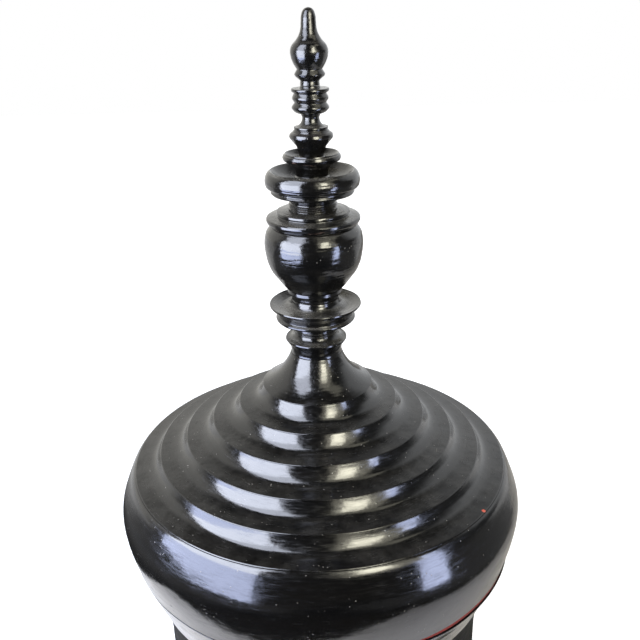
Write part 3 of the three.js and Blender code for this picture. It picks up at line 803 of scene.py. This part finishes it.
saucer = {"foot": 20.4, "ledge": 37.8, "ledgeUp": 9.4, "rim": 43.5, "rimUp": 22.8, "stem": 22, "top": 28}


def drawSaucer(outline, z):
    ledge, rim, top = z + saucer["ledgeUp"], z + saucer["rimUp"], z + saucer["top"]
    outline.to(saucer["foot"], z, 0.3)
    outline.arc(saucer["ledge"] - 1.6, ledge - 2.6, -1.8, 0.6)
    outline.to(saucer["ledge"], ledge - 0.8, 0.6).to(saucer["ledge"] - 0.2, ledge + 0.5, 0.5)
    outline.to(saucer["ledge"] - 2.6, ledge + 2.2, 0.5)
    outline.arc(saucer["rim"] - 1.3, rim - 2.4, -1.1, 0.5)
    outline.to(saucer["rim"], rim - 0.7, 0.5).to(saucer["rim"] - 0.5, rim + 0.8, 0.5)
    outline.flow((37.5, rim - 0.5), (32.0, rim - 1.8), (27.0, rim - 1.4), (23.6, rim + 1.0),
                 (saucer["stem"], top), soft=0.2)


section("spire_saucer", 11, drawSaucer, 12, lambda z: z + saucer["top"])

ball = {"foot": 22, "collar": 25.8, "collarUp": 10.4, "widest": 45.5, "top": 71, "shoulder": 40.8}


def drawBall(outline, z):
    up, top = z + ball["collarUp"], z + ball["top"]
    outline.to(ball["foot"], z, 0.3).to(ball["foot"], up - 7.2, 0.5)
    outline.to(ball["collar"] - 1.2, up - 5.6, 0.6).to(ball["collar"], up - 3.2, 0.8)
    outline.to(ball["collar"] - 0.4, up - 0.6, 0.5)
    outline.flow((30.0, up + 4.6), (35.0, up + 11.4), (39.1, up + 17.0), (41.6, up + 22.0), (43.6, up + 28.0),
                 (45.0, up + 36.0), (ball["widest"], up + 43.5), (44.8, up + 50.0),
                 (43.4, up + 54.6), (ball["shoulder"], top - 2.4), soft=0.6)
    outline.to(ball["shoulder"] - 2.2, top, 0.4)


section("spire_ball", 12, drawBall, 14, lambda z: z + ball["top"])

discs = {"foot": 40.2, "wide": 42.9, "wideUp": 5.4, "narrow": 33.4, "narrowUp": 12.2, "neck": 20.4,
         "top": 20.6, "rings": (5.6, 3.6, 1.7)}


def drawDiscs(outline, z):
    wide, narrow, top = z + discs["wideUp"], z + discs["narrowUp"], z + discs["top"]
    outline.to(discs["foot"], z, 0.3)
    outline.to(discs["wide"] - 1.0, wide - 3.0, 0.5).to(discs["wide"], wide - 1.2, 0.5)
    outline.to(discs["wide"], wide + 0.8, 0.6).to(discs["wide"] - 0.9, wide + 2.0, 0.5)
    outline.to(discs["narrow"] - 1.0, narrow - 3.2, 0.4)
    outline.to(discs["narrow"], narrow - 1.4, 0.4).to(discs["narrow"] - 0.4, narrow + 0.5, 0.5)
    outline.to(discs["neck"] + 3.2, top - 6.6, 0.3)
    for down in discs["rings"]:
        outline.to(discs["neck"] + 0.3, top - down - 0.9, 0.2).to(discs["neck"] + 2.0, top - down, 0.3)
        outline.to(discs["neck"] + 0.1, top - down + 0.9, 0.2)
    outline.to(discs["neck"], top, 0.3)


section("spire_discs", 14, drawDiscs, 11, lambda z: z + discs["top"])

dish = {"foot": 20.4, "ledge": 37.9, "ledgeUp": 9.6, "widest": 42.7, "widestUp": 19.4, "rim": 37.6,
        "rimUp": 28.4, "floorUp": 18.6, "top": 20.4, "neck": 14.4}


def drawDish(outline, z):
    ledge, widest, rim = z + dish["ledgeUp"], z + dish["widestUp"], z + dish["rimUp"]
    outline.to(dish["foot"], z, 0.3)
    outline.arc(dish["ledge"] - 1.4, ledge - 2.4, -1.0, 0.5)
    outline.to(dish["ledge"], ledge - 0.6, 0.5).to(dish["ledge"] - 1.0, ledge + 1.0, 0.4)
    outline.to(dish["ledge"] - 0.8, ledge + 2.0, 0.3)
    outline.flow((41.4, ledge + 4.4), (42.5, ledge + 7.4), (dish["widest"], widest), (42.0, widest + 4.0),
                 (40.2, widest + 7.0), (dish["rim"], rim), soft=0.5)
    outline.to(dish["rim"] - 1.7, rim - 0.7, 0.5)
    outline.flow((31.0, rim - 5.4), (24.6, rim - 8.6), (18.6, rim - 9.9),
                 (dish["neck"] + 1.6, z + dish["floorUp"]))
    outline.to(dish["neck"] + 0.8, z + dish["top"], 0.3)


section("spire_large_dish", 11, drawDish, 8, lambda z: z + dish["top"])

cup = {"foot": 15.2, "neck": 14.4, "widest": 26.2, "widestUp": 18.7, "rim": 23.8, "rimUp": 22.6,
       "floorUp": 18.2, "top": 19.8, "stem": 11.2}


def drawCup(outline, z):
    widest, rim = z + cup["widestUp"], z + cup["rimUp"]
    outline.to(cup["foot"] + 0.9, z, 0.3).to(cup["foot"] + 0.9, z + 1.6, 0.5).to(cup["neck"], z + 2.6, 0.3)
    outline.flow((14.6, z + 6.5), (17.0, z + 11.2), (cup["widest"] - 2.4, widest - 3.4), soft=0.4)
    outline.to(cup["widest"] - 0.7, widest - 2.2, 0.4).to(cup["widest"], widest, 0.5)
    outline.to(cup["widest"] - 0.8, widest + 2.2, 0.4).to(cup["rim"] + 0.6, widest + 2.7, 0.3)
    outline.to(cup["rim"], rim, 0.4).to(cup["rim"] - 1.3, rim - 0.5, 0.4)
    outline.arc(cup["stem"] + 1.8, z + cup["floorUp"], -1.2, 0.3)
    outline.to(cup["stem"], z + cup["top"], 0.3)


section("spire_small_dish", 8, drawCup, 6, lambda z: z + cup["top"])

beads = {"foot": 11.2, "stepped": 19.5, "steppedUp": 16, "disc": 15.2, "discUp": 24.4, "waist": 7.6,
         "waistUp": 32.8, "bead": 16.2, "beadUp": 41, "middle": 15.6, "middleUp": 49, "upper": 16.5,
         "upperUp": 56, "top": 58.8, "neck": 8.6}


def drawBeads(outline, z):
    stepped, disc, waist = z + beads["steppedUp"], z + beads["discUp"], z + beads["waistUp"]
    bead, middle, upper = z + beads["beadUp"], z + beads["middleUp"], z + beads["upperUp"]
    top = z + beads["top"]
    outline.to(beads["foot"], z, 0.3).to(beads["foot"] + 1.9, stepped - 8.0, 0.8)
    outline.to(beads["stepped"] - 0.4, stepped - 0.8, 0.6).to(beads["stepped"], stepped + 0.6, 0.5)
    outline.to(beads["stepped"] - 0.6, stepped + 2.8, 0.6).to(beads["stepped"] - 2.0, stepped + 4.0, 0.5)
    outline.to(beads["stepped"] - 3.2, stepped + 4.6, 0.4).to(beads["stepped"] - 4.2, stepped + 6.2, 0.5)
    outline.to(beads["disc"] - 0.9, disc - 1.9, 0.4).to(beads["disc"], disc - 0.9, 0.4)
    outline.to(beads["disc"] - 0.2, disc + 0.5, 0.4)
    outline.arc(beads["waist"], waist, -2.4, 0.4)
    outline.to(beads["waist"] + 1.2, bead - 5.4, 0.5)
    outline.arc(beads["bead"] - 0.2, bead - 1.2, 1.1, 0.4).arc(beads["bead"] - 0.8, bead + 1.8, 0.5, 0.2)
    outline.to(beads["middle"] - 1.8, (bead + middle) / 2, 0.3).to(beads["middle"] - 0.6, middle - 2.0, 0.3)
    outline.arc(beads["middle"] - 0.4, middle + 1.6, 0.7, 0.2)
    outline.to(beads["middle"] - 1.5, (middle + upper) / 2 + 0.2, 0.3)
    outline.to(beads["upper"] - 0.5, upper - 1.8, 0.3)
    outline.arc(beads["upper"] - 0.5, upper + 0.8, 0.5, 0.3)
    outline.to(beads["neck"] + 0.6, top - 1.7, 0.5).to(beads["neck"], top, 0.3)


section("spire_beads", 6, drawBeads, 4, lambda z: z + beads["top"])

bud = {"foot": 8.6, "ring": 13.3, "ringUp": 8.6, "root": 11, "rootUp": 13.1, "widest": 16.2,
       "widestUp": 28.1, "shoulder": 11, "shoulderUp": 36.6, "stemUp": 45.4, "top": 61.6}


def drawBud(outline, z):
    ringUp, root = z + bud["ringUp"], z + bud["rootUp"]
    outline.to(bud["foot"], z, 0.3).to(bud["foot"] - 0.4, z + 3.8, 0.8)
    outline.to(bud["ring"] - 0.6, ringUp - 1.0, 0.6).to(bud["ring"], ringUp + 0.6, 0.6)
    outline.to(bud["root"], root, 0.8)
    outline.flow((13.9, z + 18.0), (15.7, z + 23.0), (bud["widest"], z + bud["widestUp"]), (14.6, z + 32.6),
                 (bud["shoulder"], z + bud["shoulderUp"]), (8.4, z + 40.6), (6.9, z + bud["stemUp"]),
                 (6.5, z + 50.0), (6.2, z + 54.4), (5.0, z + 58.6), (2.8, z + 60.9), (0, z + bud["top"]))


section("spire_bud", 4, drawBud, None)
print("stage: spire")

# Studio

rig = {
    "floorSize": 9.0,
    "tableTurn": 0.44,
    "tableFront": -0.305,
    "tableSides": (-0.37, 0.57),
    "tableEdge": 0.012,
    "beside": (0.35, 0.9, 0.03, 0.23),
    "far": (0.35, 0.60),
    "farTone": 0.75,
    "shadowGlow": (0.4, 1.4, 0.55, 1.0),
    "seenPaper": (0.86, 0.86, 0.87),
    # Paper colours seen in reflections, left and right; the greyer right one is painted shade
    "mirroredPaperWithShade": ((0.90, 0.86, 0.78), (0.66, 0.63, 0.59)),
    "lens": 44.87,
    "camera": Vector((0, -0.700, 0.740)),
    "pitch": math.radians(22.9),
    "roll": math.radians(-1.45),
    "shift": 0.0065,
}


# The floor is white to the camera. In reflections it is pale, greyer towards the right as painted shade for
# the vessel's shadow, and dark in front of the vessel.
def makeFloor():
    bm = bmesh.new()
    bmesh.ops.create_grid(bm, x_segments=2, y_segments=2, size=rig["floorSize"] / 2)
    mesh = bpy.data.meshes.new("studioFloor")
    bm.to_mesh(mesh)
    bm.free()
    floor = bpy.data.objects.new("studioFloor", mesh)
    bpy.context.scene.collection.objects.link(floor)
    material = bpy.data.materials.new("floorPaper")
    material.use_nodes = True
    tree = material.node_tree
    output = tree.nodes["Material Output"]
    tree.nodes.remove(tree.nodes["Principled BSDF"])
    seen = add(tree, "ShaderNodeLightPath")
    coords = add(tree, "ShaderNodeTexCoord")
    parts = add(tree, "ShaderNodeSeparateXYZ")
    plug(tree, coords.outputs["Object"], parts.inputs[0])
    x, y = parts.outputs["X"], parts.outputs["Y"]
    forwards = calc(tree, "MULTIPLY_ADD", x, rig["tableTurn"], y)
    sideways = calc(tree, "MULTIPLY_ADD", y, -rig["tableTurn"], x)
    edge = rig["tableEdge"]
    left, right = rig["tableSides"]
    table = spread(tree, forwards, rig["tableFront"] - edge, rig["tableFront"] + edge)
    table = calc(tree, "MULTIPLY", table, spread(tree, sideways, left - edge, left + edge))
    table = calc(tree, "MULTIPLY", table, spread(tree, sideways, right - edge, right + edge, 1.0, 0.0))
    far = spread(tree, y, *rig["far"])
    mirrored = seen.outputs["Is Glossy Ray"]
    paper = add(tree, "ShaderNodeBsdfDiffuse")
    # In reflections the paper turns greyer towards the right: painted shade for the vessel's shadow on the
    # table
    leftToRight = spread(tree, x, -0.10, 0.30)
    mirroredTintWithShade = mixColors(tree, leftToRight, *rig["mirroredPaperWithShade"])
    tint = mixColors(tree, mirrored, rig["seenPaper"], mirroredTintWithShade)
    plug(tree, tint, paper.inputs["Color"])
    room = add(tree, "ShaderNodeEmission")
    beside = spread(tree, calc(tree, "ABSOLUTE", x), *rig["beside"])
    plug(tree, calc(tree, "MULTIPLY_ADD", far, rig["farTone"], beside), room.inputs["Strength"])
    outside = calc(tree, "MULTIPLY", calc(tree, "SUBTRACT", 1.0, table), mirrored)
    ground = add(tree, "ShaderNodeMixShader")
    plug(tree, outside, ground.inputs["Fac"])
    plug(tree, paper.outputs[0], ground.inputs[1])
    plug(tree, room.outputs[0], ground.inputs[2])
    glow = add(tree, "ShaderNodeEmission")
    distance = add(tree, "ShaderNodeVectorMath", operation="LENGTH")
    plug(tree, coords.outputs["Object"], distance.inputs[0])
    plug(tree, spread(tree, distance.outputs["Value"], *rig["shadowGlow"]), glow.inputs["Strength"])
    both = add(tree, "ShaderNodeAddShader")
    plug(tree, paper.outputs[0], both.inputs[0])
    plug(tree, glow.outputs[0], both.inputs[1])
    pick = add(tree, "ShaderNodeMixShader")
    plug(tree, seen.outputs["Is Camera Ray"], pick.inputs["Fac"])
    plug(tree, ground.outputs[0], pick.inputs[1])
    plug(tree, both.outputs[0], pick.inputs[2])
    plug(tree, pick.outputs[0], output.inputs["Surface"])
    mesh.materials.append(material)


wall = {"screenHeight": (0.05, 0.30, 1.0, 0.0), "screen": (-0.6, 0.6, 0.16, 0.34), "behind": (-0.15, 0.30),
        "slope": -0.40, "height": (0.36, 0.66, 1.0, 0.0), "tone": 1.1, "sides": (0.4, 0.95, 0.03, 0.13),
        "left": (1.0, 0.985, 0.93), "right": (0.96, 0.98, 1.0)}


# White to the camera. In reflections a bright wall stands behind the vessel, with dim sides, and the
# front is dark.
def makeWorld():
    world = bpy.data.worlds.new("paleStudio")
    bpy.context.scene.world = world
    world.use_nodes = True
    tree = world.node_tree
    background = tree.nodes["Background"]
    output = tree.nodes["World Output"]
    coords = add(tree, "ShaderNodeTexCoord")
    parts = add(tree, "ShaderNodeSeparateXYZ")
    plug(tree, coords.outputs["Generated"], parts.inputs[0])
    x, y, z = parts.outputs["X"], parts.outputs["Y"], parts.outputs["Z"]
    across = calc(tree, "ABSOLUTE", x)
    lowDown = spread(tree, z, *wall["screenHeight"])
    screen = calc(tree, "MULTIPLY", lowDown, spread(tree, x, *wall["screen"]))
    behind = spread(tree, calc(tree, "SUBTRACT", y, screen), *wall["behind"])
    below = spread(tree, calc(tree, "MULTIPLY_ADD", across, wall["slope"], z), *wall["height"])
    bright = calc(tree, "MULTIPLY", calc(tree, "MULTIPLY", behind, below), wall["tone"])
    plug(tree, calc(tree, "ADD", bright, spread(tree, across, *wall["sides"])),
         background.inputs["Strength"])
    plug(tree, mixColors(tree, spread(tree, x, -0.3, 0.3), wall["left"], wall["right"]),
         background.inputs["Color"])
    white = add(tree, "ShaderNodeBackground")
    white.inputs["Color"].default_value = (1, 1, 1, 1)
    white.inputs["Strength"].default_value = 1.0
    seen = add(tree, "ShaderNodeLightPath")
    pick = add(tree, "ShaderNodeMixShader")
    plug(tree, seen.outputs["Is Camera Ray"], pick.inputs["Fac"])
    plug(tree, background.outputs[0], pick.inputs[1])
    plug(tree, white.outputs[0], pick.inputs[2])
    plug(tree, pick.outputs[0], output.inputs["Surface"])


# A soft panel. Azimuth 0 is in front and 90 on the right; it leans over the vessel by its tilt.
def softbox(name, azimuth, distance, height, tilt, size, radiance, color):
    lamp = bpy.data.lights.new(name, "AREA")
    lamp.shape = "RECTANGLE"
    lamp.size, lamp.size_y = size
    lamp.energy = radiance * math.pi * size[0] * size[1]
    lamp.color = color
    holder = bpy.data.objects.new(name, lamp)
    a, e = math.radians(azimuth), math.radians(tilt)
    outwards = Vector((math.sin(a), -math.cos(a), 0))
    away = outwards * math.cos(e) + Vector((0, 0, math.sin(e)))
    holder.location = outwards * distance + Vector((0, 0, height))
    holder.rotation_mode = "QUATERNION"
    holder.rotation_quaternion = away.to_track_quat("Z", "Y")
    holder.visible_camera = False
    bpy.context.scene.collection.objects.link(holder)


def makeCamera():
    lens = bpy.data.cameras.new("photoCamera")
    lens.lens = rig["lens"]
    lens.sensor_width = 36
    lens.shift_x = rig["shift"]
    lens.dof.use_dof = False
    camera = bpy.data.objects.new("photoCamera", lens)
    bpy.context.scene.collection.objects.link(camera)
    tilt = Euler((math.pi / 2 - rig["pitch"], 0, 0)).to_matrix()
    turn = tilt @ Matrix.Rotation(rig["roll"], 3, "Z")
    camera.matrix_world = Matrix.Translation(rig["camera"]) @ turn.to_4x4()
    bpy.context.scene.camera = camera


makeFloor()
makeWorld()
cool, paleCool, warm = (0.62, 0.70, 1.0), (0.80, 0.85, 1.0), (1.0, 0.96, 0.78)
softbox("windowLeft", -54, 0.56, 0.34, 0, (0.52, 0.20), 13.5, cool)
softbox("windowLeftMiddle", -54, 0.56, 0.63, 0, (0.52, 0.38), 17.0, paleCool)
softbox("windowLeftHigh", -54, 0.56, 1.31, 0, (0.52, 0.98), 10.5, paleCool)
softbox("wallRight", 31, 1.00, 1.55, 0, (0.80, 1.90), 2.1, warm)
softbox("lampRight", 27, 0.98, 1.12, 0, (0.34, 0.86), 13.5, warm)
softbox("lampRightCore", 27, 0.94, 0.88, 0, (0.24, 0.28), 5.0, warm)
softbox("ceilingRight", 72, 0.80, 1.75, 30, (0.50, 0.50), 1.6, warm)
softbox("windowRight", 50, 0.64, 0.34, 0, (0.15, 0.26), 13.5, cool)
softbox("windowRightHigh", 52, 0.64, 0.53, 0, (0.09, 0.12), 14.0, cool)
makeCamera()
bpy.context.scene.view_settings.view_transform = "Standard"
print("stage: studio")
